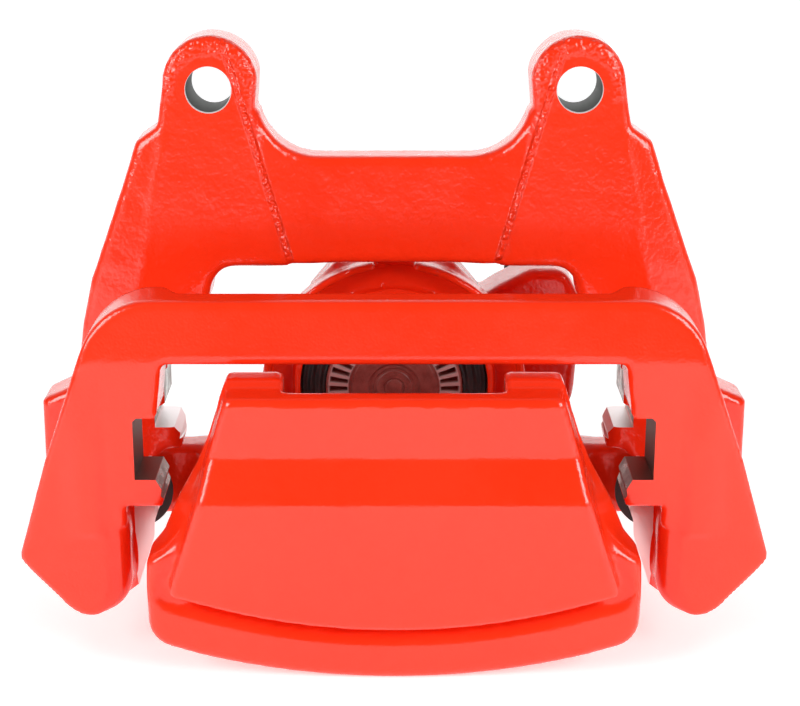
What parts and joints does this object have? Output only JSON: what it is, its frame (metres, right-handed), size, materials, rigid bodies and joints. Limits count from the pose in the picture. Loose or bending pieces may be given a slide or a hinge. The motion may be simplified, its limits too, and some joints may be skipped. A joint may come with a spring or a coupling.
{
  "type": "disc brake caliper",
  "caption": "Sliding single-piston disc brake caliper with its carrier bracket, red coated, on two guide pins with boots.",
  "frame": {"origin": "middle of the assembly's underside, below the centre of its bounding box", "axes": "+X across the bracket, +Y from the outboard front wall to the inboard cylinder along the guide pins, +Z from the bridge towards the disc's axis and the mounting ears"},
  "size_m": [0.2032, 0.132, 0.1628],
  "materials": {
    "red_coat": "glossy powder coat over ductile iron, faint orange peel",
    "zinc_steel": "zinc plated",
    "pin_steel": "ground and greased",
    "phenolic": "moulded phenolic, dark reddish brown",
    "black_rubber": "moulded EPDM, semi-matt",
    "yellow_plastic": "moulded polyethylene"
  },
  "bodies": {
    "carrier": {"carrier_bracket": "red_coat"},
    "caliper": {"caliper_housing": "red_coat", "guide_pin_left": "pin_steel", "guide_pin_right": "pin_steel", "pin_bush_right": "black_rubber", "pin_boot_left": "black_rubber", "pin_boot_right": "black_rubber", "pin_bolt_left": "zinc_steel", "pin_bolt_right": "zinc_steel", "piston_seal": "black_rubber", "piston_boot": "black_rubber"},
    "piston": {"piston": "phenolic"},
    "bleeder": {"bleeder_screw": "zinc_steel"},
    "bleeder_cap": {"bleeder_cap": "black_rubber"},
    "inlet_plug": {"inlet_plug": "yellow_plastic"}
  },
  "joints": [
    {"name": "caliper_slide", "type": "slide", "parent": "carrier", "child": "caliper", "axis": [0, 1, 0], "range_m": [-0.003, 0.012], "deforming": ["pin_boot_left", "pin_boot_right"]},
    {"name": "piston_slide", "type": "slide", "parent": "caliper", "child": "piston", "axis": [0, -1, 0], "range_m": [0, 0.02], "deforming": ["piston_boot"]},
    {"name": "bleeder_turn", "type": "hinge", "parent": "caliper", "child": "bleeder", "pos_m": [0.04, 0.049, 0.074], "axis": [0, 0.8192, 0.5736], "range_deg": [-360, 0]},
    {"name": "bleeder_cap_pull", "type": "slide", "parent": "bleeder", "child": "bleeder_cap", "axis": [0, 0.8192, 0.5736], "range_m": [0, 0.014]},
    {"name": "inlet_plug_pull", "type": "slide", "parent": "caliper", "child": "inlet_plug", "axis": [1, 0, 0], "range_m": [0, 0.015]}
  ]
}
